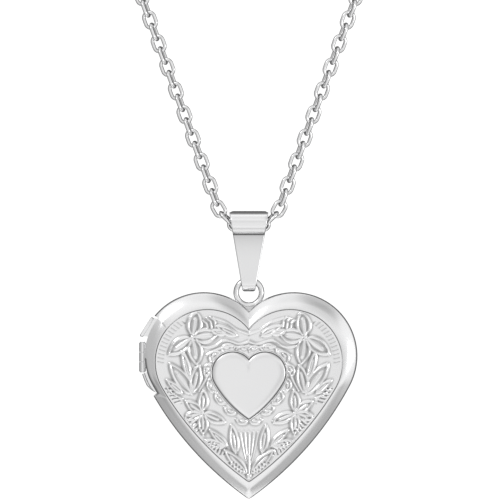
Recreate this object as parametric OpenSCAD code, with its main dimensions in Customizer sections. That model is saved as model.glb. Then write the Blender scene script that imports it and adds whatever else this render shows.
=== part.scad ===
// Heart locket hanging on a cable chain. Millimetres, +Z up, front towards -Y.
// The origin is midway between the chain's two ends, where a neck would hold them.

/* [Heart] */
// Width of the closed heart
heart_w = 29; // [28:0.1:30]
// Radius of each lobe
lobe_r = 8.5; // [8.4:0.05:8.6]
// Radius of each long flank
flank_r = 43; // [42:0.5:44]
// Height of the tip below the widest line
tip_z = -19.17; // [-19.4:0.01:-19]
// How far the widest line hangs below the chain's ends
drop = 50; // [49.5:0.1:50.5]

/* [Covers] */
// Thickness of the stamped sheet
sheet = 0.4; // [0.35:0.01:0.42]
// Width of the bevelled border
bevel_w = 1.9; // [1.8:0.05:2]
// How far the closing lip stands into the front cover
lip_proud = 0.55; // [0.45:0.05:0.6]

/* [Hinge] */
// Outer radius of the barrel
barrel_r = 0.45; // [0.43:0.01:0.46]
// Radius of the hinge pin
pin_r = 0.22; // [0.2:0.01:0.22]
// Distance of the hinge axis from the middle of the heart
hinge_x = -14.2; // [-14.25:0.01:-14.15]

/* [Bail] */
// Outer radius of the tube that the chain runs through
tube_r = 1.68; // [1.64:0.01:1.7]
// Width of the bail at its top
bail_top_w = 5.2; // [5:0.05:5.3]
// Width of the bail at its hook
bail_hook_w = 1.7; // [1.6:0.05:1.72]

/* [Chain] */
// Radius of the chain's wire
link_wire_r = 0.24; // [0.22:0.01:0.25]
// Distance between the middles of neighbouring links on a straight run
link_pitch = 1.68; // [1.67:0.01:1.69]
// The same distance where the chain bends
bend_pitch = 1.64; // [1.63:0.01:1.65]
// Links in each run
run_links = 21; // [20:1:21]
// Turn of each run about its own length, in degrees
run_twist = 18; // [0:1:20]

/* [Hidden] */
$fn = 96;

// A heart is [lobe middle x, lobe middle z, lobe radius, flank radius, tip z].
outer_heart = [heart_w / 2 - lobe_r, 0, lobe_r, flank_r, tip_z];
panel_heart = [5.5, -0.8, 7.1, 41, -16.95];
small_heart = [2.15, -2.25, 2.77, 14, -8.44];
view_heart = [4.6, -0.6, 6.1, 31, -14.6];

// Depths count from the plane of the loop, forwards.
part_depth = 0.4;
front_rim = 0.43;
front_wall = 1.25;
front_shoulder = 2.3;
panel_depth = 2.5;
small_depth = 2.85;
back_wall = -1.2;
back_shoulder = -2.1;
back_depth = -2.25;

hinge_half = 5.25;
hinge_inset = 0.6;
hinge_depth = 0.415;
running_gap = 0.05;
knuckle_ends = [[0.52, 1.75], [-0.78, 0.47], [-2.1, -0.83]];
bead_x = 14.06;
bead_depth = 0.72;
bead_r = 0.16;

loop_z = 8.46;
loop_mid_r = 1.7;
loop_wire_r = 0.37;

tube_z = 17.67;
tube_wall = 0.26;
crease_z = 16.2;
hook_z = 8.59;
hook_r = 1.22;
hook_gap = 0.68;

link_mid_r = 0.75;
link_straight = 0.68;
chain_low_z = 17.26;
end_slope = 70;
bend_slopes = [6, 35, 50];

ring_mid_r = 1.5;
ring_wire_r = 0.3;
clasp_r = 2.9;
clasp_hole_r = 1.95;
clasp_z = 9;
lever_x = 1.5;
lever_z = 7.09;

function flank_angle(h) =
    let (rise = h[1] - h[4], gap = h[3] - h[2], reach = norm([h[0], rise]))
    let (k = (reach * reach + gap * gap - h[3] * h[3]) / (2 * gap))
    atan2(rise, h[0]) - acos(k / reach);

function link_slope(i) = i < 3 ? bend_slopes[i] : end_slope;
function link_step(i) = i < 4 ? bend_pitch : link_pitch;
function link_middle(i) = i == 0 ? [0, chain_low_z] :
    link_middle(i - 1) + link_step(i - 1) * [cos(link_slope(i - 1)), sin(link_slope(i - 1))];
function link_lean(i) = (link_slope(i - 1) + link_slope(i)) / 2;

// Flat heart, drawn in from its outline by inset.
module heart_flat(h, inset = 0) {
    angle = flank_angle(h);
    gap = h[3] - h[2];
    ray = [h[0] + 14 * cos(angle), h[1] + 14 * sin(angle)];
    for (side = [-1, 1])
        translate([side * h[0], h[1]]) circle(r = h[2] - inset);
    intersection() {
        polygon([[h[0], h[1]], ray, [ray[0], -30], [-ray[0], -30], [-ray[0], ray[1]], [-h[0], h[1]]]);
        translate([h[0] - gap * cos(angle), h[1] - gap * sin(angle)]) circle(r = h[3] - inset);
        translate([gap * cos(angle) - h[0], h[1] - gap * sin(angle)]) circle(r = h[3] - inset);
    }
}

module heart_plate(h, inset, low, high) {
    heart_bevel(h, inset, inset, low, high);
}

// Heart whose outline draws in evenly from inset_low to inset_high.
module heart_bevel(h, inset_low, inset_high, low, high) {
    angle = flank_angle(h);
    gap = h[3] - h[2];
    ray = [h[0] + 14 * cos(angle), h[1] + 14 * sin(angle)];
    translate([0, 0, low]) {
        for (side = [-1, 1])
            translate([side * h[0], h[1], 0])
                cylinder(h = high - low, r1 = h[2] - inset_low, r2 = h[2] - inset_high);
        intersection() {
            linear_extrude(high - low)
                polygon([
                    [h[0], h[1]], ray, [ray[0], -30], [-ray[0], -30], [-ray[0], ray[1]], [-h[0], h[1]]
                ]);
            translate([h[0] - gap * cos(angle), h[1] - gap * sin(angle), 0])
                cylinder(h = high - low, r1 = h[3] - inset_low, r2 = h[3] - inset_high);
            translate([gap * cos(angle) - h[0], h[1] - gap * sin(angle), 0])
                cylinder(h = high - low, r1 = h[3] - inset_low, r2 = h[3] - inset_high);
        }
    }
}

// Takes shapes drawn face on, with depth forwards, to where the heart hangs.
module hang() {
    translate([0, 0, -drop]) rotate([90, 0, 0]) children();
}

// Everything outside the heart's inset outline beside the hinge, through the whole depth.
module hinge_recess(inset, half) {
    translate([0, 0, -4]) linear_extrude(8) intersection() {
        translate([-20, -half]) square([12, 2 * half]);
        difference() {
            heart_flat(outer_heart, -1.5);
            heart_flat(outer_heart, inset);
        }
    }
}

// Grooves round the barrel: tight for its own knuckles, clear for the other cover's.
module barrel_grooves(own) {
    for (i = [0:2]) {
        r = (i == 1) == own ? barrel_r : barrel_r + running_gap;
        low = knuckle_ends[i][0] - 0.025;
        translate([hinge_x, low, hinge_depth]) rotate([-90, 0, 0])
            cylinder(h = knuckle_ends[i][1] - low + 0.025, r = r);
    }
}

module front_cover() {
    color("silver") hang() difference() {
        union() {
            heart_plate(outer_heart, 0, front_rim, front_wall);
            heart_bevel(outer_heart, 0, bevel_w, front_wall, front_shoulder);
            heart_plate(panel_heart, 0.05, front_wall, panel_depth);
            heart_plate(small_heart, 0, front_wall, small_depth);
        }
        difference() {
            union() {
                heart_plate(outer_heart, sheet, front_rim - 1, front_wall);
                heart_bevel(outer_heart, sheet, bevel_w + sheet, front_wall, front_shoulder - sheet / 2);
            }
            hinge_recess(hinge_inset + sheet + 0.05, hinge_half + sheet);
        }
        hinge_recess(hinge_inset, hinge_half);
        barrel_grooves(true);
        translate([bead_x, 0, bead_depth]) sphere(r = bead_r + 0.03);
    }
}

module back_cover() {
    color("silver") hang() difference() {
        union() {
            heart_plate(outer_heart, 0, back_wall, part_depth);
            mirror([0, 0, 1]) heart_bevel(outer_heart, 0, bevel_w, -back_wall, -back_shoulder);
            heart_plate(panel_heart, 0.05, back_depth, back_wall);
        }
        difference() {
            union() {
                heart_plate(outer_heart, sheet, back_wall, part_depth + 1);
                mirror([0, 0, 1])
                    heart_bevel(outer_heart, sheet, bevel_w + sheet, -back_wall, -back_shoulder - sheet / 2);
            }
            hinge_recess(hinge_inset + sheet + 0.05, hinge_half + sheet);
        }
        hinge_recess(hinge_inset, hinge_half);
        barrel_grooves(false);
    }
}

module closing_rim() {
    color("gainsboro") hang() difference() {
        union() {
            heart_plate(outer_heart, sheet, -0.5, part_depth);
            heart_plate(outer_heart, sheet + 0.06, part_depth, part_depth + lip_proud);
        }
        heart_plate(outer_heart, sheet + 0.36, -1, part_depth + 1);
        translate([-20, -6, -2]) cube([12, 12, 4]);
        translate([bead_x, 0, bead_depth]) sphere(r = bead_r);
    }
}

module catch_bead() {
    color("silver") hang() translate([bead_x, 0, bead_depth]) sphere(r = bead_r);
}

module photo_frame(low, high, inset) {
    color("silver") hang() difference() {
        heart_plate(outer_heart, inset, low, high);
        heart_plate(view_heart, 0, low - 1, high + 1);
        hinge_recess(hinge_inset + sheet + 0.1, hinge_half + sheet + 0.1);
        translate([-14.2, -6.1, low - 1]) cube([1.4, 12.2, high - low + 2]);
    }
}

module front_photo_frame() {
    photo_frame(0.98, 1.24, sheet + 0.42);
}

module back_photo_frame() {
    photo_frame(0.02, 0.3, sheet + 0.4);
}

module window_sheet(low, high) {
    color("aliceblue", 0.35) hang() difference() {
        heart_plate(outer_heart, 1.3, low, high);
        translate([-14.2, -6.1, low - 1]) cube([1.45, 12.2, high - low + 2]);
    }
}

module front_window() {
    window_sheet(1.24, 1.4);
}

module back_window() {
    window_sheet(-0.16, 0.02);
}

module top_loop() {
    color("silver") hang() difference() {
        union() {
            translate([0, loop_z, 0]) rotate_extrude() translate([loop_mid_r, 0]) circle(r = loop_wire_r);
            translate([0, 0, -0.3]) linear_extrude(0.6) difference() {
                polygon([[-1.95, 7.6], [0, 5.9], [1.95, 7.6]]);
                translate([0, loop_z]) circle(r = loop_mid_r);
            }
        }
        heart_plate(outer_heart, 0, -2, 2);
    }
}

// Rod seen face on, from one point to another, as a flat shape.
module bar_flat(from, to, r) {
    run = to - from;
    translate(from) rotate(atan2(run[1], run[0])) {
        translate([0, -r]) square([norm(run), 2 * r]);
        circle(r = r);
        translate([norm(run), 0]) circle(r = r);
    }
}

module hinge_leaf_upper() {
    color("silver") hang() difference() {
        union() {
            translate([0, 0, -0.9]) linear_extrude(1.25)
                bar_flat([-12.95, 4.9], [-14.3, 2.75], 0.24);
            translate([0, 0, -0.9]) linear_extrude(0.9)
                polygon([[-12.95, 5.1], [-12.2, 5], [-13.2, 2.5], [-14.2, 2.5]]);
        }
        heart_plate(outer_heart, hinge_inset, -2, 2);
    }
}

module hinge_leaf_lower() {
    color("silver") hang() intersection() {
        translate([-20, -hinge_half, -2]) cube([12, hinge_half - 2.35, 4]);
        union() {
            difference() {
                heart_plate(outer_heart, -0.12, -0.9, 0.35);
                heart_plate(outer_heart, 0.3, -1, 0.4);
            }
            difference() {
                heart_plate(outer_heart, 0.2, -0.9, 0);
                heart_plate(outer_heart, hinge_inset, -1, 0.1);
            }
        }
    }
}

module knuckle(i) {
    color("silver") translate([hinge_x, -hinge_depth, knuckle_ends[i][0] - drop]) difference() {
        cylinder(h = knuckle_ends[i][1] - knuckle_ends[i][0], r = barrel_r);
        translate([0, 0, -1]) cylinder(h = 4, r = pin_r + 0.03);
    }
}

module hinge_knuckle_upper() {
    knuckle(0);
}

module hinge_knuckle_middle() {
    knuckle(1);
}

module hinge_knuckle_lower() {
    knuckle(2);
}

module hinge_pin() {
    low = knuckle_ends[2][0];
    high = knuckle_ends[0][1];
    color("gainsboro") translate([hinge_x, -hinge_depth, -drop]) {
        translate([0, 0, low - 0.12]) cylinder(h = high - low + 0.24, r = pin_r);
        translate([0, 0, low - 0.12]) cylinder(h = 0.12, r = pin_r + 0.1);
        translate([0, 0, high]) cylinder(h = 0.12, r = pin_r + 0.1);
    }
}

// Prism across the bail, 8 long, of a shape in its side view.
module across() {
    translate([-4, 0, 0]) rotate([90, 0, 90]) linear_extrude(8) children();
}

// Bail before its sides are cut to shape: tube above, two straps below, closed by the hook.
module bail_blank() {
    difference() {
        union() {
            across() translate([0, tube_z]) circle(r = tube_r);
            across() polygon([
                [-0.9, crease_z + 0.3], [0.9, crease_z + 0.3], [0.95, crease_z],
                [hook_r - 0.03, hook_z + hook_r], [0.03 - hook_r, hook_z + hook_r], [-0.95, crease_z]
            ]);
            across() translate([0, hook_z + hook_r]) circle(r = hook_r);
        }
        across() translate([0, tube_z]) circle(r = tube_r - tube_wall);
        across() polygon([
            [-0.48, crease_z + 0.6], [0.48, crease_z + 0.6], [hook_gap - 0.02, 9.98], [0.02 - hook_gap, 9.98]
        ]);
        across() translate([0, 9.98]) circle(r = hook_gap);
    }
}

// Front view of the bail, wide above and narrow at the hook.
module bail_front() {
    top_half = bail_top_w / 2;
    hook_half = bail_hook_w / 2;
    top_z = tube_z + tube_r;
    corner = 0.4;
    bends = [0:15:90];
    polygon(concat(
        [[-hook_half, hook_z], [hook_half, hook_z]],
        [for (a = bends) [top_half - corner + corner * cos(a), top_z - corner + corner * sin(a)]],
        [for (a = bends) [corner - top_half - corner * sin(a), top_z - corner + corner * cos(a)]]
    ));
}

module bail() {
    color("silver") translate([0, 0, -drop]) intersection() {
        bail_blank();
        translate([0, 4, 0]) rotate([90, 0, 0]) linear_extrude(8) bail_front();
    }
}

// Oval ring of wire, long way up, its plane facing front.
module oval_link(mid_r, straight, wire_r) {
    for (side = [-1, 1]) {
        translate([0, 0, side * straight / 2]) rotate([90, 0, 0]) rotate([0, 0, side > 0 ? 0 : 180])
            rotate_extrude(angle = 180) translate([mid_r, 0]) circle(r = wire_r, $fn = 32);
        translate([side * mid_r, 0, -straight / 2]) cylinder(h = straight, r = wire_r, $fn = 32);
    }
}

module chain_run(side) {
    for (i = [1:run_links]) {
        place = link_middle(i);
        translate([side * place[0], 0, place[1] - drop])
            rotate([0, side * (90 - link_lean(i)), 0])
            rotate([0, 0, (i % 2 == 0 ? 90 : 0) + side * min(run_twist, 6 * i)])
                oval_link(link_mid_r, link_straight, link_wire_r);
    }
}

module chain_centre_link() {
    color("silver") translate([0, 0, chain_low_z - drop]) rotate([0, 90, 0]) rotate([0, 0, 90])
        oval_link(link_mid_r, link_straight, link_wire_r);
}

module chain_left() {
    color("silver") chain_run(-1);
}

module chain_right() {
    color("silver") chain_run(1);
}

// Takes shapes drawn upwards from a run's last link to where that run ends.
module run_end(side) {
    last = link_middle(run_links);
    translate([side * last[0], 0, last[1] - drop]) rotate([0, side * (90 - end_slope), 0]) children();
}

// Round jump ring through the last link, edge on.
module jump_ring(mid_r) {
    inner_end = link_mid_r + link_straight / 2 - link_wire_r;
    translate([0, 0, inner_end - ring_wire_r - 0.01 + mid_r]) rotate([0, 90, 0])
        rotate_extrude() translate([mid_r, 0]) circle(r = ring_wire_r, $fn = 48);
}

module clasp_jump_ring() {
    color("silver") run_end(-1) jump_ring(ring_mid_r);
}

module end_ring() {
    color("silver") run_end(1) jump_ring(ring_mid_r + 0.3);
}

// Flat plate of the clasp, thick both ways from its middle plane.
module clasp_plate(half) {
    translate([0, half, 0]) rotate([90, 0, 0]) linear_extrude(2 * half) children();
}

module clasp_body() {
    color("silver") run_end(-1) difference() {
        union() {
            clasp_plate(0.85) translate([0, clasp_z]) difference() {
                circle(r = clasp_r);
                circle(r = clasp_hole_r);
            }
            clasp_plate(0.85) difference() {
                translate([-0.95, 4.6]) square([1.9, 2.2]);
                translate([0, clasp_z]) circle(r = clasp_hole_r);
            }
            clasp_plate(0.4) difference() {
                union() {
                    translate([0, 3.75]) circle(r = 1.1);
                    translate([-0.8, 4]) square([1.6, 0.7]);
                }
                translate([0, 3.75]) circle(r = 0.62);
            }
        }
        translate([0.96, -2, lever_z + 0.85]) cube([3, 4, 2.44]);
        translate([0.4, -0.45, 5.6]) cube([4, 0.9, 3.2]);
        translate([lever_x, 2, lever_z]) rotate([90, 0, 0]) cylinder(h = 4, r = 0.28);
    }
}

module clasp_lever() {
    color("silver") run_end(-1) difference() {
        union() {
            translate([0, -0.14, 0]) clasp_plate(0.24) intersection() {
                translate([0, clasp_z]) difference() {
                    circle(r = 2.8);
                    circle(r = 2.1);
                }
                translate([1, lever_z]) square([3, 3.06]);
            }
            translate([lever_x, 0.1, lever_z]) rotate([90, 0, 0]) cylinder(h = 0.48, r = 0.6);
            translate([0, -0.14, 0]) clasp_plate(0.24) bar_flat([lever_x, lever_z], [2.9, 6.3], 0.35);
        }
        translate([lever_x, 2, lever_z]) rotate([90, 0, 0]) cylinder(h = 4, r = 0.31);
    }
}

module clasp_rivet() {
    color("gainsboro") run_end(-1) translate([lever_x, 0.85, lever_z]) rotate([90, 0, 0])
        cylinder(h = 1.7, r = 0.28);
}

module clasp_spring() {
    color("gray") run_end(-1) translate([lever_x, 0.42, lever_z]) rotate([90, 0, 0]) difference() {
        cylinder(h = 0.28, r = 0.52);
        translate([0, 0, -1]) cylinder(h = 3, r = 0.3);
    }
}

front_cover();
back_cover();
closing_rim();
catch_bead();
front_photo_frame();
back_photo_frame();
front_window();
back_window();
top_loop();
hinge_leaf_upper();
hinge_leaf_lower();
hinge_knuckle_upper();
hinge_knuckle_middle();
hinge_knuckle_lower();
hinge_pin();
bail();
chain_centre_link();
chain_left();
chain_right();
clasp_jump_ring();
clasp_body();
clasp_lever();
clasp_rivet();
clasp_spring();
end_ring();
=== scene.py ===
"""Polished heart locket on a cable chain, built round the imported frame."""
import math

import bmesh
import bpy
import numpy as np
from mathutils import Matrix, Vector


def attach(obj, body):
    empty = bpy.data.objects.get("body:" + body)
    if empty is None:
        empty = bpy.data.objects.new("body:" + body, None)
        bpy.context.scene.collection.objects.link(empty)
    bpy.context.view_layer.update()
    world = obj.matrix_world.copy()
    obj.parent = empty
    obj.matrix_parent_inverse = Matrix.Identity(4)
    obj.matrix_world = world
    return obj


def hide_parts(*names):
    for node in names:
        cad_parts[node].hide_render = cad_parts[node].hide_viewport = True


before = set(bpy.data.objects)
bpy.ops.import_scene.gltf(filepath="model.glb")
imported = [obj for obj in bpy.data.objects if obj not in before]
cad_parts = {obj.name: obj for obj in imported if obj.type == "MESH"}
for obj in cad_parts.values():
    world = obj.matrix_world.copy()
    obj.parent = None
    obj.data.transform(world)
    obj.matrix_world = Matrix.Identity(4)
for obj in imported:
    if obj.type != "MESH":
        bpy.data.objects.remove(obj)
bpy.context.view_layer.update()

MM = 0.001
DROP = 50.0  # the widest line of the heart hangs this far below the origin, in mm

# A heart is (lobe middle x, lobe middle z, lobe radius, flank radius, tip z), in mm.
OUTER = (6.0, 0.0, 8.5, 43.0, -19.17)  # both covers
PANEL = (5.5, -0.8, 7.1, 41.0, -16.95)  # flat inside the bevelled border
SMALL = (2.15, -2.25, 2.77, 14.0, -8.44)  # plain raised heart
VIEW = (4.6, -0.6, 6.1, 31.0, -14.6)  # opening of the photo frames
SHEET = 0.4  # thickness of both covers
HINGE_HALF = 5.25  # half the height of the covers' recess beside the hinge
HINGE_INSET = 0.6  # depth of that recess
HINGE_SIDE = -8.0  # points further left than this may lie beside the hinge
AROUND = 720  # points round a heart's outline
LOBE_SHARE = 0.56  # share of them on the lobes
TIP_REACH = 6  # points on each side of the tip that its rounding moves


# ---------------------------------------------------------------- outlines

def flank_angle(heart):
    """Angle of the point where the lobe's arc runs into the flank's."""
    x, z, lobe, flank, tip = heart
    rise, gap = z - tip, flank - lobe
    reach = math.hypot(x, rise)
    k = (reach * reach + gap * gap - flank * flank) / (2 * gap)
    return math.atan2(rise, x) - math.acos(k / reach)


def half_outline(heart, inset, count):
    """Right half of the outline, from the cleft round the lobe and down to the tip."""
    x, z, lobe, flank, tip = heart
    turn = flank_angle(heart)
    gap = flank - lobe
    middle = (x - gap * math.cos(turn), z - gap * math.sin(turn))
    lobe, flank = lobe - inset, flank - inset
    cleft = math.acos(max(-1.0, -x / lobe))
    end = -math.acos(min(1.0, -middle[0] / flank))
    first = int(count * LOBE_SHARE)
    upper = np.linspace(cleft, turn, first, endpoint=False)
    lower = np.linspace(turn, end, count - first)
    return np.concatenate([
        np.stack([x + lobe * np.cos(upper), z + lobe * np.sin(upper)], 1),
        np.stack([middle[0] + flank * np.cos(lower), middle[1] + flank * np.sin(lower)], 1),
    ])


def outline(heart, inset=0.0, round_tip=3):
    """Closed outline: down the right side from the cleft, then up the left side."""
    half = half_outline(heart, inset, AROUND // 2 + 1)
    left = half[1:-1][::-1] * (-1, 1)
    ring = np.concatenate([half, left])
    tip = AROUND // 2
    for _ in range(round_tip):
        near = np.arange(tip - TIP_REACH, tip + TIP_REACH + 1)
        ring[near] = (ring[near - 1] + ring[near + 1]) / 2
    return ring


def cover_ring(inset, recess):
    """Outline of a cover, drawn in by the recess where the hinge sits."""
    ring = outline(OUTER, inset)
    if inset < recess:
        beside = (ring[:, 0] < HINGE_SIDE) & (np.abs(ring[:, 1]) < HINGE_HALF)
        ring[beside] = outline(OUTER, recess)[beside]
    return ring


# ---------------------------------------------------------------- mesh helpers

def to_row(points, depth):
    """Face-on x, z in mm and depth towards the front, as row coordinates in metres."""
    points = np.asarray(points, float)
    depth = np.broadcast_to(depth, len(points))
    return np.stack([points[:, 0], -depth, points[:, 1] - DROP], 1) * MM


def make(name, verts, faces, material, sharp=None):
    """New smooth object; edges over the sharp angle, in degrees, stay crisp."""
    mesh = bpy.data.meshes.new(name)
    mesh.from_pydata([tuple(v) for v in verts], [], faces)
    mesh.validate()
    bm = bmesh.new()
    bm.from_mesh(mesh)
    bmesh.ops.recalc_face_normals(bm, faces=bm.faces)
    bm.to_mesh(mesh)
    bm.free()
    mesh.polygons.foreach_set("use_smooth", [True] * len(mesh.polygons))
    obj = bpy.data.objects.new(name, mesh)
    bpy.context.scene.collection.objects.link(obj)
    obj.data.materials.append(material)
    if sharp is not None:
        mesh.set_sharp_from_angle(angle=math.radians(sharp))
    return obj


def shade(obj, values):
    """Stores how much each point's colour darkens: painted shade in hollows and creases, and on the jump rings
    their dark split.
    """
    layer = obj.data.attributes.new("hollow", "FLOAT", "POINT")
    layer.data.foreach_set("value", np.asarray(values, np.float32))


def loft(rings, closed_rings=False, cap=False):
    """Faces between rings of equal count; cap adds a fan to one last middle point."""
    count = len(rings[0])
    rows = len(rings)
    faces = []
    for i in range(rows if closed_rings else rows - 1):
        a, b = i * count, ((i + 1) % rows) * count
        for j in range(count):
            k = (j + 1) % count
            faces.append((a + j, a + k, b + k, b + j))
    verts = np.concatenate(rings)
    if cap:
        middle = len(verts)
        verts = np.concatenate([verts, [np.mean(rings[-1], axis=0)]])
        last = (rows - 1) * count
        faces += [(last + j, last + (j + 1) % count, middle) for j in range(count)]
    return verts, faces


def close_start(verts, faces):
    """Adds a fan that closes the first ring of a loft between heart outlines."""
    middle = len(verts)
    verts = np.concatenate([verts, [verts[:AROUND].mean(0)]])
    return verts, faces + [((j + 1) % AROUND, j, middle) for j in range(AROUND)]


def tube(path, radius, sides):
    """Closed ring of wire along a flat path of points."""
    along = np.roll(path, -1, 0) - np.roll(path, 1, 0)
    along /= np.linalg.norm(along, axis=1)[:, None]
    flat = np.linalg.svd(path - path.mean(0))[2][2]
    side = np.cross(along, flat)
    turn = np.linspace(0, 2 * math.pi, sides, endpoint=False)
    rings = [middle + radius * (np.cos(turn)[:, None] * out + np.sin(turn)[:, None] * flat)
             for middle, out in zip(path, side)]
    return loft(rings, closed_rings=True)


def join_parts(parts):
    """Several verts-and-faces pairs as one."""
    verts, faces, start = [], [], 0
    for v, f in parts:
        verts.append(np.asarray(v))
        faces += [tuple(i + start for i in face) for face in f]
        start += len(v)
    return np.concatenate(verts), faces


# ---------------------------------------------------------------- materials

def new_material(name):
    """New material, with its nodes, links and shader."""
    material = bpy.data.materials.new(name)
    material.use_nodes = True
    nodes, links = material.node_tree.nodes, material.node_tree.links
    return material, nodes, links, nodes["Principled BSDF"]


def noise(nodes, links, vector, scale, detail):
    """Noise over a piece, from 0 to 1."""
    texture = nodes.new("ShaderNodeTexNoise")
    texture.inputs["Scale"].default_value = scale
    texture.inputs["Detail"].default_value = detail
    links.new(vector, texture.inputs["Vector"])
    return texture.outputs["Fac"]


def between(nodes, links, value, low, high):
    """A value from 0 to 1 as one between low and high."""
    span = nodes.new("ShaderNodeMapRange")
    span.inputs["To Min"].default_value = low
    span.inputs["To Max"].default_value = high
    links.new(value, span.inputs["Value"])
    return span.outputs["Result"]


def blend(nodes, links, factor, low, high):
    """Colour between two; the low one is a colour or another node's output."""
    mix = nodes.new("ShaderNodeMix")
    mix.data_type = "RGBA"
    if isinstance(low, tuple):
        mix.inputs["A"].default_value = low
    else:
        links.new(low, mix.inputs["A"])
    mix.inputs["B"].default_value = high
    links.new(factor, mix.inputs["Factor"])
    return mix.outputs["Result"]


def scaled(tint, share):
    """Colour with its three channels multiplied."""
    return (*[channel * share for channel in tint], 1)


UNEVEN_GRAIN, UNEVEN_TONE = 160.0, 0.965
SCRATCH_DEPTH = 0.00002


def metal(name, tint, rough, scratch=0.06, grain=900.0, stretch=(1, 1, 1), hollow=0.0):
    """Polished metal: fine scratches, uneven polish, and painted shade that darkens the colour by its hollow
    attribute.
    """
    material, nodes, links, shader = new_material(name)
    shader.inputs["Metallic"].default_value = 1.0
    coords = nodes.new("ShaderNodeTexCoord")
    place = nodes.new("ShaderNodeMapping")
    place.inputs["Scale"].default_value = stretch
    links.new(coords.outputs["Object"], place.inputs["Vector"])
    fine = noise(nodes, links, place.outputs["Vector"], grain, 5.0)
    broad = noise(nodes, links, coords.outputs["Object"], UNEVEN_GRAIN, 3.0)
    polish = between(nodes, links, broad, rough * 0.7, rough * 1.35)
    links.new(polish, shader.inputs["Roughness"])
    tone = blend(nodes, links, broad, scaled(tint, UNEVEN_TONE), scaled(tint, 1))
    # Painted shade: the colour goes towards the hollow tone where the hollow attribute is high.
    if hollow:
        depth = nodes.new("ShaderNodeAttribute")
        depth.attribute_name = "hollow"
        tone = blend(nodes, links, depth.outputs["Fac"], tone, scaled(tint, hollow))
    links.new(tone, shader.inputs["Base Color"])
    bump = nodes.new("ShaderNodeBump")
    bump.inputs["Strength"].default_value = scratch
    bump.inputs["Distance"].default_value = SCRATCH_DEPTH
    links.new(fine, bump.inputs["Height"])
    links.new(bump.outputs["Normal"], shader.inputs["Normal"])
    return material


def clear_plastic():
    """Clear sheet with a faint, uneven haze."""
    material, nodes, links, shader = new_material("clear_sheet")
    shader.inputs["Base Color"].default_value = (0.95, 0.97, 1.0, 1)
    shader.inputs["IOR"].default_value = 1.46
    shader.inputs["Alpha"].default_value = 0.22
    coords = nodes.new("ShaderNodeTexCoord")
    haze = noise(nodes, links, coords.outputs["Object"], 300.0, 2.0)
    links.new(between(nodes, links, haze, 0.04, 0.16), shader.inputs["Roughness"])
    return material


SILVER = (0.93, 0.93, 0.935)
polished = metal("polished_silver", SILVER, 0.13)
# The embossed and chain silver carry painted shade: at full hollow their colour falls to this share of the tint.
embossed = metal("embossed_silver", SILVER, 0.16, hollow=0.30)
chain_metal = metal("chain_silver", SILVER, 0.15, grain=2600.0, hollow=0.35)
satin = metal("satin_silver", (0.82, 0.82, 0.83), 0.32, scratch=0.25, grain=500.0,
              stretch=(1, 1, 14))
frame_metal = metal("frame_silver", (0.9, 0.9, 0.905), 0.17)
spring_metal = metal("spring_steel", (0.62, 0.62, 0.64), 0.25, scratch=0.2, grain=1800.0)
window = clear_plastic()

# CAD nodes that are shown as they are.
MATERIALS = {
    "closing_rim": satin, "catch_bead": satin, "hinge_pin": satin, "clasp_rivet": satin,
    "clasp_spring": spring_metal, "clasp_body": polished, "clasp_lever": polished,
    "hinge_knuckle_upper": polished, "hinge_knuckle_middle": polished,
    "hinge_knuckle_lower": polished,
}
for node, material in MATERIALS.items():
    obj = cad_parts[node]
    obj.data.materials.clear()
    obj.data.materials.append(material)


def own(piece, body, slot, *nodes):
    """The piece rides on a body and stands for the CAD nodes."""
    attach(piece, body)
    if nodes:
        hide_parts(*nodes)
    return piece


# ---------------------------------------------------------------- embossed relief

LEAF_RIM, LEAF_BEAD, LEAF_FLOOR = 0.17, 0.12, 0.02  # heights over the panel, in mm
RIM_SOFT = 0.19  # half width of a leaf's rim
PETAL_GAP = 0.28  # from a flower's middle to the foot of a petal
BOSS_RADIUS, BOSS_HEIGHT = 0.3, 0.2
RIDGE_RADIUS, RIDGE_HEIGHT = 0.14, 0.14
LINE_STEPS = 5


def leaf(x, z, base, tip, width):
    """Height of one leaf: a raised tube all round it and a soft bead along its middle."""
    base, tip = np.array(base), np.array(tip)
    run = np.linalg.norm(tip - base)
    way = (tip - base) / run
    u = ((x - base[0]) * way[0] + (z - base[1]) * way[1]) / run
    v = np.abs(-(x - base[0]) * way[1] + (z - base[1]) * way[0])
    inside = np.clip(u, 0, 1)
    half = width * np.sin(math.pi * inside ** 0.85) ** 0.75
    past = np.maximum(0, np.abs(u - 0.5) - 0.5) * run
    edge = np.hypot(v - half, past)
    height = LEAF_RIM * np.exp(-((edge / RIM_SOFT) ** 2))
    within = (v < half) & (u > 0) & (u < 1)
    bead = np.exp(-((v / (0.1 + 0.2 * width)) ** 2)) * np.clip((0.8 - u) / 0.15, 0, 1)
    return np.where(within, np.maximum(height, LEAF_BEAD * bead) + LEAF_FLOOR, height)


def flower(x, z, middle, petals, width):
    """Petals round a small boss; each petal is an angle in degrees and a length."""
    height = np.zeros_like(x)
    for angle, length in petals:
        a = math.radians(angle)
        way = np.array([math.cos(a), math.sin(a)])
        base = np.array(middle) + PETAL_GAP * way
        height = np.maximum(height, leaf(x, z, base, base + length * way, width))
    boss = np.hypot(x - middle[0], z - middle[1])
    return np.maximum(height, BOSS_HEIGHT * np.exp(-((boss / BOSS_RADIUS) ** 2)))


def ridge(x, z, points):
    """Raised line through points, rounded across."""
    found = np.full_like(x, np.inf)
    fine = smooth_line(points)
    for a, b in zip(fine[:-1], fine[1:]):
        run = b - a
        t = np.clip(((x - a[0]) * run[0] + (z - a[1]) * run[1]) / (run @ run), 0, 1)
        found = np.minimum(found, np.hypot(x - a[0] - t * run[0], z - a[1] - t * run[1]))
    return RIDGE_HEIGHT * np.exp(-((found / RIDGE_RADIUS) ** 2))


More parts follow.
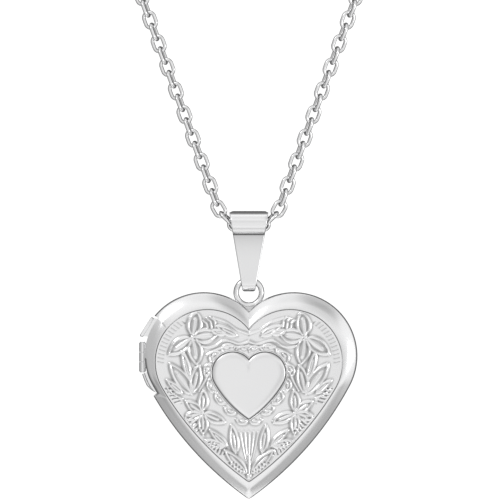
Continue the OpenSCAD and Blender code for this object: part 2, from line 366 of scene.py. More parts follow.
def smooth_line(points):
    """Rounded line through the points."""
    p = np.asarray(points, float)
    p = np.concatenate([[2 * p[0] - p[1]], p, [2 * p[-1] - p[-2]]])
    out = []
    for i in range(1, len(p) - 2):
        for t in np.arange(LINE_STEPS) / LINE_STEPS:
            out.append(0.5 * (
                2 * p[i] + (p[i + 1] - p[i - 1]) * t
                + (2 * p[i - 1] - 5 * p[i] + 4 * p[i + 1] - p[i + 2]) * t ** 2
                + (3 * p[i] - 3 * p[i + 1] + p[i + 2] - p[i - 1]) * t ** 3
            ))
    out.append(p[-2])
    return np.array(out)


# The right half of the pattern, in mm on the heart's face; the left half mirrors it.
LEAVES = [
    # base, tip, half width
    ((1.7, 2.75), (4.3, 4.0), 0.42), ((3.1, 3.0), (5.0, 3.35), 0.3),
    ((7.6, -5.0), (10.5, -1.1), 0.82), ((7.5, -4.9), (6.7, -1.3), 0.66),
    ((7.9, -3.0), (8.9, 0.6), 0.34),
    ((1.75, -12.9), (2.3, -9.3), 0.5), ((0.4, -15.5), (3.2, -12.6), 0.55),
    ((3.0, -11.9), (5.2, -9.9), 0.36), ((3.2, -12.0), (6.0, -11.4), 0.4),
    ((9.0, -4.9), (10.9, -3.3), 0.34),
]
UPPER_FLOWER = ((7.5, 2.5), [(98, 3.1), (-35, 3.6), (-99, 3.4), (174, 3.1)], 0.86)
LOWER_FLOWER = ((6.2, -7.6), [(93, 2.7), (35, 2.4), (-17, 2.2), (-92, 2.6), (-157, 2.9)], 0.56)
RIDGES = [
    [(0.0, 2.95), (1.6, 3.55), (3.1, 4.55), (4.7, 5.05)],
    [(0.0, 1.95), (1.1, 1.6), (2.2, 1.9), (3.3, 2.1), (4.3, 1.45), (5.3, 1.15), (6.3, 1.3)],
    [(0.0, 1.35), (1.4, 1.2), (2.6, 1.35), (3.8, 1.0), (4.9, 0.55), (5.6, 0.1)],
    [(4.5, 3.9), (4.6, 4.7), (5.1, 5.15)], [(5.0, 3.7), (5.15, 4.5), (5.6, 5.0)],
    [(5.5, 3.6), (5.7, 4.3), (6.1, 4.7)],
    [(5.4, -2.2), (5.9, -3.4), (6.6, -4.6)],
    [(10.9, -4.3), (9.9, -5.2), (8.9, -5.7)], [(9.0, -7.9), (8.0, -9.1), (6.9, -10.2)],
]


FLUTES_LOW, FLUTES_HIGH = -15.7, -9.9
FLUTE_HEIGHT = 0.085
STEM_LOW, STEM_HIGH = -15.9, -13.2
STEM_HALF, STEM_HEIGHT = 0.16, 0.16


def flutes(x, z):
    """Fan of upright flutes that closes to a stem above the tip."""
    rise = np.clip((z + 14.6) / 4.6, 0, 1)
    across = x / (STEM_HALF + 1.4 * rise ** 0.75)
    wave = 0.5 + 0.5 * np.cos(across * math.pi * 5)
    inside = (np.abs(across) < 1.1) & (z > FLUTES_LOW) & (z < FLUTES_HIGH)
    fade = np.clip((z - FLUTES_LOW) / 0.4, 0, 1) * np.clip((FLUTES_HIGH - z) / 0.3, 0, 1)
    stem = np.exp(-((x / STEM_HALF) ** 2)) * (z < STEM_HIGH) * (z > STEM_LOW)
    return np.maximum(np.where(inside, FLUTE_HEIGHT * wave * fade, 0), STEM_HEIGHT * stem)


SCALLOPS = 8  # arches on each side of the raised heart
SCALLOP_GAP = 0.3  # from the raised heart to the arches' feet
ARCH_HEIGHT, ARCH_SOFT = 0.16, 0.16
DROP_HEIGHT, DROP_RADIUS = 0.13, 0.42


def scallops(x, z):
    """Lace of little arches, open towards the raised heart, with a drop in each."""
    half = half_outline(SMALL, -SCALLOP_GAP, 400)
    gaps = np.concatenate([[0], np.cumsum(np.linalg.norm(np.diff(half, axis=0), axis=1))])
    radius = gaps[-1] / SCALLOPS / 2
    height = np.zeros_like(x)
    for i in range(SCALLOPS):
        at = (i + 0.5) / SCALLOPS * gaps[-1]
        foot = np.interp(at, gaps, half[:, 0]), np.interp(at, gaps, half[:, 1])
        out = np.array([foot[0] - 1.4, foot[1] + 3.4])
        out /= np.linalg.norm(out)
        up = (x - foot[0]) * out[0] + (z - foot[1]) * out[1]
        side = -(x - foot[0]) * out[1] + (z - foot[1]) * out[0]
        ring = np.hypot(side, up * 1.15) - radius * 0.93
        arch = np.clip((up + 0.1) / 0.2, 0, 1) * np.exp(-((ring / ARCH_SOFT) ** 2))
        drop = np.hypot(side, (up - 0.42) * 1.9) / DROP_RADIUS
        height = np.maximum(height, ARCH_HEIGHT * arch)
        height = np.maximum(height, DROP_HEIGHT * np.sqrt(np.clip(1 - drop ** 2, 0, 1)))
    return height


# Stretches of the border that carry cuts: lowest and highest z in mm, and their strength.
HATCHED = [
    (-1.2, 4.6, 0.5), (-6.4, -4.1, 1.0), (-10.1, -8.0, 1.0), (-13.2, -11.3, 0.9),
    (-15.6, -14.1, 0.9),
]
CUT_PITCH, CUT_DEPTH = 0.56, 0.1
CUT_NEAR, CUT_FAR = 0.15, 1.15  # how far in from the border the cuts start and end
CUT_SIDE = 8.5  # above the middle, cuts lie only further out than this


def hatches(x, z, along, inward):
    """Short cuts across the panel's border, in groups down its two sides."""
    tooth = 0.5 - 0.5 * np.cos(along * 2 * math.pi / CUT_PITCH)
    band = np.clip((inward - CUT_NEAR) / 0.12, 0, 1) * np.clip((CUT_FAR - inward) / 0.15, 0, 1)
    group = np.zeros_like(z)
    for low, high, strength in HATCHED:
        group = np.maximum(group, strength * ((z > low) & (z < high)))
    group = group * ((z < 0) | (np.abs(x) > CUT_SIDE))
    return -CUT_DEPTH * tooth ** 2 * band * group


KNOB_Z, KNOB_RADIUS, KNOB_HEIGHT = -16.05, 0.42, 0.2
BORDER_CALM = 0.35  # width over which the relief rises beside the border


def relief(x, z, along, inward):
    """Height of the embossing over the panel, in mm."""
    side = np.abs(x)
    height = np.maximum(flutes(x, z), scallops(side, z))
    for base, tip, width in LEAVES:
        height = np.maximum(height, leaf(side, z, base, tip, width))
    for middle, petals, width in (UPPER_FLOWER, LOWER_FLOWER):
        height = np.maximum(height, flower(side, z, middle, petals, width))
    for points in RIDGES:
        height = np.maximum(height, ridge(side, z, points))
    knob = np.hypot(x, z - KNOB_Z) / KNOB_RADIUS
    height = np.maximum(height, KNOB_HEIGHT * np.sqrt(np.clip(1 - knob ** 2, 0, 1)))
    calm = np.clip(inward / BORDER_CALM, 0, 1)
    return height * calm + hatches(x, z, along, inward)


# ---------------------------------------------------------------- covers

RINGS = 88  # rings of points from the panel's border to the raised heart
PANEL_DEPTH = 2.44  # the panel's lowest level, forward of the locket's middle plane, in mm
RELIEF_SCALE = 1.05
PANEL_DOME = 0.10
SOFTENING = 12  # passes that smooth the relief, to find what lies below its surroundings
HOLLOW_SHADE_GAIN = 19


def panel_rings():
    """Embossed panel from its border to the raised heart: rings, depths and hollows, the painted shade of points
    below their surroundings.
    """
    outer, inner = outline(PANEL, 0.2), outline(SMALL, -0.25)
    step = np.linalg.norm(np.roll(outer, -1, 0) - outer, axis=1)
    along = np.concatenate([[0], np.cumsum(step)[:-1]])
    along = np.minimum(along, step.sum() - along)
    wide = np.linalg.norm(outer - inner, axis=1)
    grid, heights = [], []
    for i in range(RINGS):
        t = i / (RINGS - 1)
        ring = outer * (1 - t) + inner * t
        grid.append(ring)
        heights.append(relief(ring[:, 0], ring[:, 1], along, t * wide))
    heights = np.array(heights)
    dome = PANEL_DOME * np.sin(np.linspace(0, 1, RINGS) * math.pi)[:, None]
    soft = heights.copy()
    for _ in range(SOFTENING):
        soft = (np.roll(soft, 1, 1) + np.roll(soft, -1, 1) + 2 * soft) / 4
        soft[1:-1] = (soft[:-2] + soft[2:] + 2 * soft[1:-1]) / 4
    # Painted shade: points lower than their smoothed surroundings get a darker colour.
    hollow = np.clip((soft - heights) * HOLLOW_SHADE_GAIN - 0.06, 0, 1) ** 1.2
    return grid, PANEL_DEPTH + heights * RELIEF_SCALE + dome, hollow


HEART_EDGE = [
    # inset, depth, hollow (painted shade): a raised line, a groove, then the plain heart's rounded edge
    (-0.25, PANEL_DEPTH, 0.8), (-0.19, 2.53, 0.1), (-0.13, 2.57, 0.0), (-0.07, 2.54, 0.2),
    (-0.03, 2.47, 1.2), (0.01, 2.46, 1.3), (0.04, 2.53, 0.9), (0.09, 2.60, 0.15),
    (0.18, 2.635, 0.0), (0.32, 2.675, 0.0), (0.5, 2.715, 0.0), (0.75, 2.75, 0.0),
]
HEART_MIDDLE = np.array([0.0, -3.5])
HEART_DOME, DOME_RADIUS = 0.06, 4.2
DOME_START = 8  # the first row of the edge that the dome lifts


def raised_heart():
    """Rings from the foot of the plain heart up its rounded edge to its domed middle."""
    rings = [outline(SMALL, inset, round_tip=2) for inset, _, _ in HEART_EDGE]
    depths = [np.full(AROUND, depth) for _, depth, _ in HEART_EDGE]
    dark = [np.full(AROUND, hollow) for _, _, hollow in HEART_EDGE]
    edge, top = rings[-1], HEART_EDGE[-1][1]
    for t in (0.1, 0.22, 0.36, 0.5, 0.64, 0.8, 0.93):
        rings.append(edge * (1 - t) + HEART_MIDDLE * t)
        depths.append(np.full(AROUND, top + 0.02 * t))
        dark.append(np.zeros(AROUND))
    for i in range(DOME_START, len(rings)):
        away = ((rings[i] - HEART_MIDDLE) / DOME_RADIUS) ** 2
        depths[i] = depths[i] + HEART_DOME * np.clip(1 - away[:, 0] - away[:, 1], 0, 1)
    return rings, depths, dark


def shell(name, outside, inside, body, node, extra=()):
    """Stamped cover: its inner face from the middle to the rim, then its outer face back.

    Each row is inset, depth, share of the panel's heart in the outline, and hollow, its painted shade.
    Extra rows are a ring of points, depths and hollows (painted shade), for what lies inside the panel's border."""
    rings, dark = [], []
    for profile, recess in ((inside[::-1], HINGE_INSET + SHEET), (outside, HINGE_INSET)):
        for inset, depth, panel, hollow in profile:
            if panel == 1:
                ring = outline(PANEL, inset)
            else:
                ring = cover_ring(inset, recess) * (1 - panel) + outline(PANEL) * panel
            rings.append(to_row(ring, depth))
            dark.append(np.full(AROUND, hollow))
    for ring, depth, hollow in extra:
        rings.append(to_row(ring, depth))
        dark.append(hollow)
    verts, faces = close_start(*loft(rings, cap=True))
    obj = make(name, verts, faces, embossed, sharp=50)
    # Painted shade along the rows, which the polish's colour follows.
    shade(obj, np.concatenate(dark + [[0, 0]]))
    own(obj, body, "polished_silver", node)


FRONT_OUTER = [
    # inset, depth, share of the panel's heart, hollow (painted shade)
    (0.03, 0.43, 0, 0.3), (0.0, 0.47, 0, 0.1), (0.0, 0.7, 0, 0.0), (0.0, 0.85, 0, 0.0),
    (0.01, 0.96, 0, 0.0), (0.056, 1.105, 0, 0.0), (0.14, 1.236, 0, 0.0), (0.214, 1.31, 0, 0.0),
    (0.273, 1.355, 0, 0.0), (0.273, 1.60, 0.23, 0.0), (0.273, 1.83, 0.46, 0.0),
    (0.273, 1.93, 0.6, 0.0), (0.273, 2.05, 0.8, 0.0), (0.273, 2.12, 0.93, 0.0),
    (0.0, 2.15, 1, 0.0), (0.05, 2.16, 1, 0.25), (0.09, 2.13, 1, 1.0), (0.13, 2.15, 1, 1.0), (0.16, 2.34, 1, 0.5),
    (0.18, PANEL_DEPTH, 1, 0.1),
]
FRONT_INNER = [
    (0.37, 0.43, 0, 0.3), (0.4, 0.47, 0, 0.2), (0.4, 0.9, 0, 0.1), (0.4, 1.22, 0, 0.2),
    (1.3, 1.7, 0, 0.1), (2.3, 2.04, 0, 0.1),
]
BACK_OUTER = [
    (0.03, 0.4, 0, 0.3), (0.0, 0.36, 0, 0.1), (0.0, 0.0, 0, 0.0), (0.0, -0.6, 0, 0.0),
    (0.0, -1.0, 0, 0.0), (0.015, -1.08, 0, 0.0), (0.06, -1.16, 0, 0.0), (0.13, -1.23, 0, 0.0),
    (0.22, -1.29, 0, 0.0), (0.22, -1.5, 0.23, 0.0), (0.22, -1.72, 0.46, 0.0),
    (0.22, -1.81, 0.6, 0.0), (0.22, -1.92, 0.8, 0.0), (0.22, -1.98, 0.93, 0.0),
    (0.0, -2.01, 1, 0.3), (0.04, -2.01, 1, 0.6), (0.08, -2.11, 1, 0.1), (0.16, -2.19, 1, 0.0),
    (0.34, -2.23, 1, 0.0), (0.8, -2.25, 1, 0.0),
]
BACK_INNER = [
    (0.37, 0.4, 0, 0.3), (0.4, 0.36, 0, 0.2), (0.4, -0.5, 0, 0.1), (0.4, -1.17, 0, 0.2),
    (1.3, -1.5, 0, 0.1), (2.3, -1.88, 0, 0.1),
]


def covers():
    """Front cover with its embossed panel and raised heart, and the plain back cover."""
    extra = [*zip(*panel_rings()), *zip(*raised_heart())]
    shell("embossed_front_cover", FRONT_OUTER, FRONT_INNER, "locket_front", "front_cover", extra)
    shell("plain_back_cover", BACK_OUTER, BACK_INNER, "locket_back", "back_cover")


covers()


# ---------------------------------------------------------------- photo frames and windows

FRAME_STOP, WINDOW_STOP = -12.78, -12.72  # straight left edges beside the hinge
STOP_HALF = 6.1
EASE, FRAME_REACH = 0.05, 13.0  # a frame's eased edge, and about half its width


def flat_left(ring, limit):
    """Outline with its left lobe cut straight beside the hinge."""
    cut = ring.copy()
    beside = np.abs(cut[:, 1]) < STOP_HALF
    cut[:, 0] = np.where(beside & (cut[:, 0] < limit), limit, cut[:, 0])
    return cut


def photo_frame(node, body, foot, face, inset):
    """Heart-shaped frame from its foot's depth to its face's, both edges of the face eased."""
    edge = math.copysign(EASE, face - foot)
    rows = ((0.0, foot), (0.0, face - edge), (EASE, face))
    outer = flat_left(outline(OUTER, inset), FRAME_STOP)
    loops = [to_row(outer * (1 - draw / FRAME_REACH), depth) for draw, depth in rows]
    loops += [to_row(outline(VIEW, -draw), depth) for draw, depth in rows[::-1]]
    verts, faces = loft(loops, closed_rings=True)
    own(make(f"{node}_ring", verts, faces, frame_metal, sharp=18), body, "frame_silver", node)


def photo_window(node, body, low, high):
    """Clear flat sheet between two depths."""
    outer = flat_left(outline(OUTER, 1.32), WINDOW_STOP)
    inner = outer * 0.7
    loops = [to_row(inner, low), to_row(outer, low), to_row(outer, high), to_row(inner, high)]
    verts, faces = close_start(*loft(loops, cap=True))
    own(make(f"{node}_sheet", verts, faces, window, sharp=40), body, "clear_window", node)


photo_frame("front_photo_frame", "locket_front", 1.24, 0.98, 0.84)
photo_frame("back_photo_frame", "locket_back", 0.02, 0.3, 0.82)
photo_window("front_window", "locket_front", 1.24, 1.4)
photo_window("back_window", "locket_back", -0.16, 0.02)


# ---------------------------------------------------------------- top loop

LOOP_Z, LOOP_R, LOOP_WIRE = 8.46, 1.7, 0.37
FOOT_HALF, FOOT_EASE, FOOT_ROWS, FOOT_POINTS = 0.3, 0.1, 7, 28
FOOT_TOP = 6.9  # below this height the colour gets painted shade, in the solder's hollow under the ring


def loop_foot():
    """Soldered gusset that fills the cleft under the ring."""
    lobe_x, lobe_radius = OUTER[0], OUTER[2]
    rings = []
    for depth in np.linspace(-FOOT_HALF, FOOT_HALF, FOOT_ROWS):
        ease = FOOT_EASE * (abs(depth) / FOOT_HALF) ** 3
        top = [(LOOP_R * math.cos(a), LOOP_Z + LOOP_R * math.sin(a) - ease)
               for a in np.linspace(math.radians(216), math.radians(324), FOOT_POINTS)]
        bottom = [(x, math.sqrt(lobe_radius ** 2 - (lobe_x - abs(x)) ** 2) + 0.01)
                  for x in np.linspace(top[-1][0], top[0][0], FOOT_POINTS)]
        rings.append(to_row(top + bottom, depth))
    verts, faces = loft(rings)
    count = 2 * FOOT_POINTS
    for start in (0, count * (FOOT_ROWS - 1)):
        faces += [(start + i, start + i + 1, start + count - 2 - i, start + count - 1 - i)
                  for i in range(FOOT_POINTS - 1)]
    return verts, faces


def top_loop():
    """Ring in the cleft, with its foot."""
    turn = np.linspace(0, 2 * math.pi, 96, endpoint=False)
    path = [(LOOP_R * math.cos(a), 0, LOOP_Z - DROP + LOOP_R * math.sin(a)) for a in turn]
    ring = tube(np.array(path) * MM, LOOP_WIRE * MM, 24)
    verts, faces = join_parts([ring, loop_foot()])
    obj = make("soldered_top_loop", verts, faces, embossed, sharp=50)
    # Painted shade: darker towards the foot, in the cleft between the lobes.
    shade(obj, np.clip((FOOT_TOP - verts[:, 2] / MM - DROP) / 1.2, 0, 0.5))
    own(obj, "locket_back", "polished_silver", "top_loop")


top_loop()


# ---------------------------------------------------------------- bail

TUBE_Z, TUBE_R, TUBE_WALL = 17.67, 1.68, 0.26
CREASE_Z, STRAP_OUT, SLOT_HALF = 16.2, 0.93, 0.48
HOOK_Z, HOOK_R, HOOK_GAP, GAP_Z = 8.59, 1.22, 0.68, 9.98
TOP_HALF, HOOK_HALF, CORNER = 2.6, 0.85, 0.4
HOOK_CORNER, HOOK_ROUND = 0.1, 0.16
STRAP_BOW = 0.07


def bail_half_width(z):
    """Half the bail's width at a height, with its top corners rounded."""
    top = TUBE_Z + TUBE_R
    t = np.clip((z - HOOK_Z) / (top - CORNER - HOOK_Z), 0, 1)
    half = HOOK_HALF + (TOP_HALF - HOOK_HALF) * t
    over = np.clip((z - (top - CORNER)) / CORNER, 0, 1)
    under = np.clip((HOOK_Z + HOOK_ROUND - z) / HOOK_ROUND, 0, 1)
    half -= CORNER * (1 - np.sqrt(1 - over ** 2))
    return half - HOOK_CORNER * (1 - np.sqrt(1 - under ** 2))


def arc(radius, middle_z, start, end, count):
    """Points of an arc about a middle at depth 0."""
    return [(radius * math.cos(a), middle_z + radius * math.sin(a))
            for a in np.linspace(start, end, count)]


def bowed(top, foot, bow):
    """Line from top to foot, closer together near the top, bowed outwards by up to the bow."""
    down = np.linspace(0, 1, 60) ** 1.2
    return [(top[0] + (foot[0] - top[0]) * t + bow * math.sin(t * math.pi),
             top[1] + (foot[1] - top[1]) * t) for t in down]


def bail_profile():
    """Matching outer and inner lines of the bail's side, from the crease round both ways."""
    rise = math.asin((TUBE_Z - CREASE_Z - 0.02) / TUBE_R)
    outer = arc(TUBE_R, TUBE_Z, -rise, math.pi + rise, 120)
    hole = TUBE_R - TUBE_WALL
    rise = math.acos(SLOT_HALF / hole)
    inner = arc(hole, TUBE_Z, -rise, math.pi + rise, 120)
    strap_out = bowed((-STRAP_OUT, CREASE_Z), (-HOOK_R, HOOK_Z + HOOK_R), STRAP_BOW)
    strap_in = bowed(inner[-1], (-HOOK_GAP, GAP_Z), 0.8 * STRAP_BOW)
    hook_out = arc(HOOK_R, HOOK_Z + HOOK_R, math.pi, 2 * math.pi, 50)[1:-1]
    hook_in = arc(HOOK_GAP, GAP_Z, math.pi, 2 * math.pi, 50)[1:-1]
    back_out = [(-y, z) for y, z in strap_out[::-1]]
    back_in = [(-y, z) for y, z in strap_in[::-1]]
    return (np.array(outer + strap_out + hook_out + back_out),
            np.array(inner + strap_in + hook_in + back_in))


BAIL_EDGE = [
    # side, inset from the edge, how far the face is eased back there
    (-1, 0.0, 0.1), (-1, 0.02, 0.08), (-1, 0.06, 0.035), (-1, 0.11, 0.01), (-1, 0.17, 0.0),
]


def bail():
    """Strap curled into the chain's tube above and hooked round the top loop below."""
    outer, inner = bail_profile()
    rows = [*BAIL_EDGE, *((w, 0.25, 0.0) for w in np.linspace(-0.85, 0.85, 9))]
    rows += [(-w, inset, ease) for w, inset, ease in BAIL_EDGE[::-1]]
    thick = inner - outer
    thick /= np.linalg.norm(thick, axis=1)[:, None]
    loops = []
    for line, way, across in ((outer, thick, rows), (inner, -thick, rows[::-1])):
        wide = bail_half_width(line[:, 1])
        for w, inset, ease in across:
            place = line + way * ease
            loops.append(np.stack([w * (wide - inset), place[:, 0], place[:, 1] - DROP], 1) * MM)
    verts, faces = loft(loops, closed_rings=True)
    obj = make("tapered_bail", verts, faces, embossed, sharp=35)
    # Painted shade: dark along the crease and at the hook's bottom, darker on the tube just above the crease,
    # and a painted reflection gradient fading down the strap below it.
    z = verts[:, 2] / MM + DROP
    crease = np.exp(-(((z - CREASE_Z) / 0.1) ** 2)) * (np.abs(verts[:, 1]) > 0.7 * MM)
    above = 0.34 * np.clip(1 - (z - CREASE_Z), 0, 1) * (z > CREASE_Z)
    below = 0.42 * np.exp(-np.abs(z - CREASE_Z) / 1.5) * (z <= CREASE_Z)
    hook = 0.5 * np.clip(1 - (z - HOOK_Z) / 0.3, 0, 1)
    shade(obj, np.clip(crease + above + below + hook, 0, 1))
    own(obj, "hanger", "polished_silver", "bail")


bail()


# ---------------------------------------------------------------- hinge leaves

LEAF_BACK, WEB_FRONT = -0.9, 0.0  # depths between which the hinge leaves stand
BAR_TOP, BAR_FOOT, BAR_RADIUS = np.array([-12.95, 4.9]), np.array([-14.3, 2.75]), 0.24
BAR_ROWS = [
    # inset, depth
    (0.0, LEAF_BACK), (0.0, 0.1), (0.02, 0.2), (0.07, 0.29), (0.13, 0.335), (0.19, 0.35),
]
STRIP_TOP, STRIP_FOOT, STRIP_FADE = -2.36, -5.2, 1.2
STRIP_ROWS = [
    # inset from the cover's outline, depth
    (-0.1, LEAF_BACK), (-0.12, 0.05), (-0.11, 0.15), (-0.07, 0.25), (0.0, 0.32), (0.09, 0.35),
    (0.18, 0.32), (0.25, 0.25), (0.29, 0.12), (0.3, WEB_FRONT), (0.59, WEB_FRONT),
    (0.6, LEAF_BACK),
]


def strip(loops):
    """Solid strip whose section is given by loops of points along it, with both ends closed."""
    rows, count = len(loops), len(loops[0])
    faces = []
    for i in range(rows):
        a, b = i * count, ((i + 1) % rows) * count
        faces += [(a + j, a + j + 1, b + j + 1, b + j) for j in range(count - 1)]
    faces.append(tuple(i * count for i in range(rows)))
    faces.append(tuple(i * count + count - 1 for i in range(rows))[::-1])
    return np.concatenate(loops), faces


def upper_leaf():
    """Straight rounded bar above the barrel, with the web that ties it to the cover."""
    way = (BAR_FOOT - BAR_TOP) / np.linalg.norm(BAR_FOOT - BAR_TOP)
    side = np.array([-way[1], way[0]])
    bends = [BAR_RADIUS * (math.sin(t) * way + math.cos(t) * side)
             for t in np.linspace(0, math.pi, 14)]
    rim = np.array([BAR_FOOT + bend for bend in bends] + [BAR_TOP - bend for bend in bends])
    inwards = (BAR_TOP + BAR_FOOT) / 2 - rim
    inwards /= np.linalg.norm(inwards, axis=1)[:, None]
    bar = loft([to_row(rim + inwards * inset, depth) for inset, depth in BAR_ROWS], cap=True)
    edge = half_outline(OUTER, HINGE_INSET, 600) * (-1, 1)
    edge = edge[(edge[:, 0] < HINGE_SIDE) & (edge[:, 1] < 5.0) & (edge[:, 1] > 2.5)]
    outer = np.stack([np.linspace(-12.9, -14.2, len(edge)), np.linspace(5.05, 2.6, len(edge))], 1)
    web = strip([to_row(edge, LEAF_BACK), to_row(outer, LEAF_BACK),
                 to_row(outer, WEB_FRONT), to_row(edge, WEB_FRONT)])
    own(make("upper_hinge_leaf", *join_parts([bar, web]), polished, sharp=40),
        "locket_back", "polished_silver", "hinge_leaf_upper")


def lower_leaf():
    """Curved strip below the barrel, which runs out into the cover's border."""
    line = half_outline(OUTER, 0.0, 600)
    keep = (line[:, 0] > -HINGE_SIDE) & (line[:, 1] < STRIP_TOP) & (line[:, 1] > STRIP_FOOT)
    base = (half_outline(OUTER, HINGE_INSET, 600) * (-1, 1))[keep]
    loops = []
    for inset, depth in STRIP_ROWS:
        edge = (half_outline(OUTER, inset, 600) * (-1, 1))[keep]
        fade = np.clip((edge[:, 1] - STRIP_FOOT) / STRIP_FADE, 0, 1) ** 0.5
        loops.append(to_row(base + (edge - base) * fade[:, None], depth))
    own(make("lower_hinge_leaf", *strip(loops), polished, sharp=40),
        "locket_back", "polished_silver", "hinge_leaf_lower")


upper_leaf()
lower_leaf()


# ---------------------------------------------------------------- chain

LINK_MID, LINK_STRAIGHT, LINK_WIRE, LINK_PINCH = 0.75, 0.68, 0.25, 0.012
LINK_STEPS, LINK_SIDES = 44, 14
PITCH, BEND_PITCH, BEND_LINKS, RUN_LINKS, RUN_TWIST, TWIST_STEP = 1.68, 1.64, 4, 21, 18, 6
BEND_SLOPES, END_SLOPE, CHAIN_LOW = (6, 35, 50), 70, 17.26
BACKWARDS = np.array([0, 1.0, 0])


def link_slope(i):
    """Slope in degrees of a run between two neighbouring links."""
    return BEND_SLOPES[i] if i < len(BEND_SLOPES) else END_SLOPE


def run_points(side):
    """Middles of the links of one run, from the middle of the bail outwards, in mm."""
    points = [np.array([0.0, CHAIN_LOW])]
    for i in range(RUN_LINKS):
        a = math.radians(link_slope(i))
        step = BEND_PITCH if i < BEND_LINKS else PITCH
        points.append(points[-1] + step * np.array([math.cos(a), math.sin(a)]))
    return [np.array([side * x, 0, z - DROP]) for x, z in points]


def link_mesh(middle, lean, side, edge_on, turned=0.0):
    """One oval link, its wire a little pinched where the next ones pull, with painted shade on the wire's inner
    side.
    """
    along = np.array([side * math.cos(lean), 0, math.sin(lean)])
    across = np.array([-side * math.sin(lean), 0, math.cos(lean)])
    if edge_on:
        face = BACKWARDS * math.cos(turned) + across * math.sin(turned)
    else:
        face = across * math.cos(turned) - BACKWARDS * math.sin(turned)
    flat = np.cross(along, face)
    section = np.linspace(0, 2 * math.pi, LINK_SIDES, endpoint=False)
    rings = []
    for t in np.linspace(0, 2 * math.pi, LINK_STEPS, endpoint=False):
        c, s = math.cos(t), math.sin(t)
        shift = LINK_STRAIGHT / 2 * math.copysign(1, c) if abs(c) > 1e-6 else 0
        centre = middle + along * (LINK_MID * c + shift) + face * LINK_MID * s
        out = along * c + face * s
        wire = LINK_WIRE - LINK_PINCH * abs(c)
        rings.append(centre + wire * (np.cos(section)[:, None] * out
                                      + np.sin(section)[:, None] * flat))
    # Painted shade on the inner side of the wire, where the neighbouring links lie.
    dark = 0.55 * np.clip(-np.cos(section) - 0.25, 0, 1)
    verts, faces = loft(rings, closed_rings=True)
    return verts * MM, faces, np.tile(dark, LINK_STEPS)


def chain(name, side, node):
    """One run of links from the bail up to its end; gives the piece and its route."""
    points = run_points(side)
    parts, dark = [], []
    for i in range(1, RUN_LINKS + 1):
        lean = math.radians((link_slope(i - 1) + link_slope(i)) / 2)
        turned = math.radians(min(RUN_TWIST, TWIST_STEP * i))
        verts, faces, shadow = link_mesh(points[i], lean, side, i % 2 == 0, turned)
        parts.append((verts, faces))
        dark.append(shadow)
    obj = make(name, *join_parts(parts), chain_metal)
    shade(obj, np.concatenate(dark))
    own(obj, "necklace", "chain_silver", node)
    return obj, [tuple(p * MM) for p in points[1:]]


left_run, left_path = chain("left_chain_links", -1, "chain_left")
right_run, right_path = chain("right_chain_links", 1, "chain_right")


def centre_link():
    """The link inside the bail's tube, between the two runs."""
    low = np.array([0, 0, CHAIN_LOW - DROP])
    verts, faces, shadow = link_mesh(low, 0.0, 1, True)
    obj = make("middle_chain_link", verts, faces, chain_metal)
    shade(obj, shadow)
    own(obj, "necklace", "chain_silver", "chain_centre_link")


centre_link()

RING_WIRE, RING_SIDES, RING_STEPS = 0.295, 18, 90
RING_HOLD = 0.55  # from the middle of the last link's wire to that of the ring's
JOINT_STEP = 22


def end_ring(name, side, radius, node):
    """Round jump ring through the last link, with the split of its closed joint."""
    last = run_points(side)[-1]
    a = math.radians(END_SLOPE)
    up = np.array([side * math.cos(a), 0, math.sin(a)])
    centre = last + up * (LINK_MID + LINK_STRAIGHT / 2 - RING_HOLD + radius)
    turn = np.linspace(0, 2 * math.pi, RING_STEPS, endpoint=False)
    path = np.array([centre + radius * (math.cos(t) * up + math.sin(t) * BACKWARDS)
                     for t in turn])
    verts, faces = tube(path * MM, RING_WIRE * MM, RING_SIDES)
    obj = make(name, verts, faces, chain_metal)
    joint = np.zeros(len(verts))
    joint[RING_SIDES * JOINT_STEP:RING_SIDES * (JOINT_STEP + 1)] = 0.9
    shade(obj, joint)
    return own(obj, "necklace", "chain_silver", node)


left_ring = end_ring("clasp_ring", -1, 1.5, "clasp_jump_ring")
right_ring = end_ring("neck_end_ring", 1, 1.8, "end_ring")


# ---------------------------------------------------------------- studio

FLOOR_Z, FLOOR_RADIUS, FLOOR_POINTS = -0.25, 0.15, 96


def floor():
    """Small pale round floor below the hanging locket."""
    turn = np.linspace(0, 2 * math.pi, FLOOR_POINTS, endpoint=False)
    circle = np.stack([np.cos(turn), np.sin(turn), np.zeros(FLOOR_POINTS)], 1)
    rings = [circle * radius + (0, 0, FLOOR_Z - drop) for radius, drop in (
        (0.03, 0), (0.08, 0), (FLOOR_RADIUS - 0.002, 0), (FLOOR_RADIUS, 0.0006))]
    material, nodes, links, shader = new_material("pale_floor")
    shader.inputs["Roughness"].default_value = 0.7
    coords = nodes.new("ShaderNodeTexCoord")
    speckle = noise(nodes, links, coords.outputs["Generated"], 90.0, 2.0)
    links.new(between(nodes, links, speckle, 0.86, 0.92), shader.inputs["Base Color"])
    verts, faces = loft(rings)
    verts = np.concatenate([verts, [(0, 0, FLOOR_Z)]])
    middle = len(verts) - 1
    faces += [((j + 1) % FLOOR_POINTS, j, middle) for j in range(FLOOR_POINTS)]
    make("pale_floor", verts, faces, material)


floor()

# Soft cards round the camera's line, as the polish sees them: angle in the picture, angle away
# from the camera's line, half sizes in degrees of the full tone and of its fading, brightness.
CARDS = [
    (0, 180, 74, 110, 0.15), (0, 180, 8, 20, 5.4), (90, 98, 8, 26, 1.6),
    (62, 60, 6, 25, 0.62), (56, 42, 8, 19, 0.76), (88, 54, 6, 18, 0.92), (176, 58, 14, 46, 0.56),
    (222, 68, 14, 26, 0.56), (315, 68, 13, 24, 0.52), (270, 66, 14, 34, 0.74),
    (0, 0, 8, 36, 0.90), (350, 26, 8, 22, 0.80), (90, 20, 6, 14, 0.90),
]


CARD_STRENGTH, WHITE_STRENGTH = 0.95, 1.1


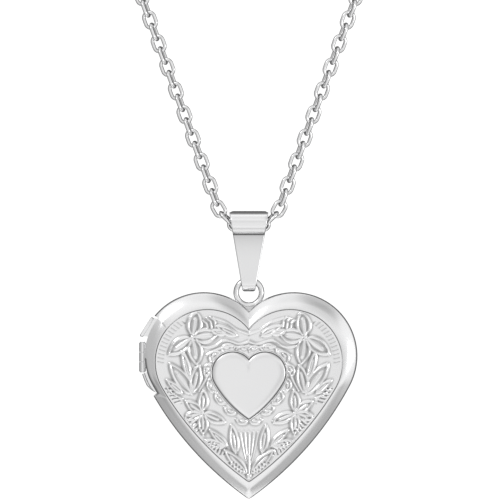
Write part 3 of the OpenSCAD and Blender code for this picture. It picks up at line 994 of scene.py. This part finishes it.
def soft_card(nodes, links, where, azimuth, away, full, fade, bright):
    """Factor of one card, 1 outside it, for light that comes from where."""
    a, b = math.radians(azimuth), math.radians(away)
    dot = nodes.new("ShaderNodeVectorMath")
    dot.operation = "DOT_PRODUCT"
    dot.inputs[1].default_value = (math.sin(b) * math.cos(a), -math.cos(b),
                                   math.sin(b) * math.sin(a))
    links.new(where, dot.inputs[0])
    card = nodes.new("ShaderNodeMapRange")
    card.interpolation_type = "SMOOTHSTEP"
    card.inputs["From Min"].default_value = math.cos(math.radians(fade))
    card.inputs["From Max"].default_value = math.cos(math.radians(full))
    card.inputs["To Min"].default_value = 1.0
    card.inputs["To Max"].default_value = bright
    links.new(dot.outputs["Value"], card.inputs["Value"])
    return card.outputs["Result"]


def combine(nodes, links, operation, first, second):
    """Two values put together by the operation."""
    both = nodes.new("ShaderNodeMath")
    both.operation = operation
    links.new(first, both.inputs[0])
    links.new(second, both.inputs[1])
    return both.outputs["Value"]


def studio():
    """White room that the polish sees as soft cards."""
    world = bpy.data.worlds.new("studio")
    bpy.context.scene.world = world
    world.use_nodes = True
    nodes, links = world.node_tree.nodes, world.node_tree.links
    nodes.clear()
    where = nodes.new("ShaderNodeTexCoord").outputs["Generated"]
    level = soft_card(nodes, links, where, *CARDS[0])
    for card in CARDS[1:]:
        level = combine(nodes, links, "MULTIPLY", level, soft_card(nodes, links, where, *card))
    light = nodes.new("ShaderNodeBackground")
    links.new(level, light.inputs["Color"])
    light.inputs["Strength"].default_value = CARD_STRENGTH
    white = nodes.new("ShaderNodeBackground")
    white.inputs["Color"].default_value = (1, 1, 1, 1)
    white.inputs["Strength"].default_value = WHITE_STRENGTH
    rays = nodes.new("ShaderNodeLightPath").outputs
    plain = combine(nodes, links, "MAXIMUM", rays["Is Camera Ray"], rays["Is Diffuse Ray"])
    both = nodes.new("ShaderNodeMixShader")
    links.new(plain, both.inputs["Fac"])
    links.new(light.outputs["Background"], both.inputs[1])
    links.new(white.outputs["Background"], both.inputs[2])
    out = nodes.new("ShaderNodeOutputWorld")
    links.new(both.outputs["Shader"], out.inputs["Surface"])


def soft_lamp(name, place, size, power):
    """Round lamp that points at the locket."""
    data = bpy.data.lights.new(name, "AREA")
    data.shape = "DISK"
    data.size = size
    data.energy = power
    lamp = bpy.data.objects.new(name, data)
    lamp.location = place
    way = Vector(LOCKET_MIDDLE) - Vector(place)
    lamp.rotation_euler = way.to_track_quat("-Z", "Y").to_euler()
    bpy.context.scene.collection.objects.link(lamp)


LOCKET_MIDDLE = (0, 0, -DROP * MM)
studio()
soft_lamp("key", (-0.35, -0.45, 0.35), 0.22, 0.3)
soft_lamp("fill", (0.45, -0.30, -0.05), 0.18, 0.2)

SENSOR = 36.0  # in mm
DISTANCE = 1.2
FACE_NEARER = 0.002  # the locket's face is that much nearer than the frame's origin
PICTURE_WIDTH = 0.0667
PICTURE_MIDDLE = (0.00015, -0.03587)


def camera():
    """Level camera straight in front of the locket, as in the photograph."""
    data = bpy.data.cameras.new("camera")
    data.type = "PERSP"
    data.sensor_width = SENSOR
    data.lens = SENSOR * (DISTANCE - FACE_NEARER) / PICTURE_WIDTH
    data.clip_start = 0.05
    data.clip_end = 20.0
    obj = bpy.data.objects.new("camera", data)
    obj.location = (PICTURE_MIDDLE[0], -DISTANCE, PICTURE_MIDDLE[1])
    obj.rotation_euler = (math.pi / 2, 0, 0)
    bpy.context.scene.collection.objects.link(obj)
    bpy.context.scene.camera = obj


camera()
bpy.context.scene.view_settings.view_transform = "Standard"
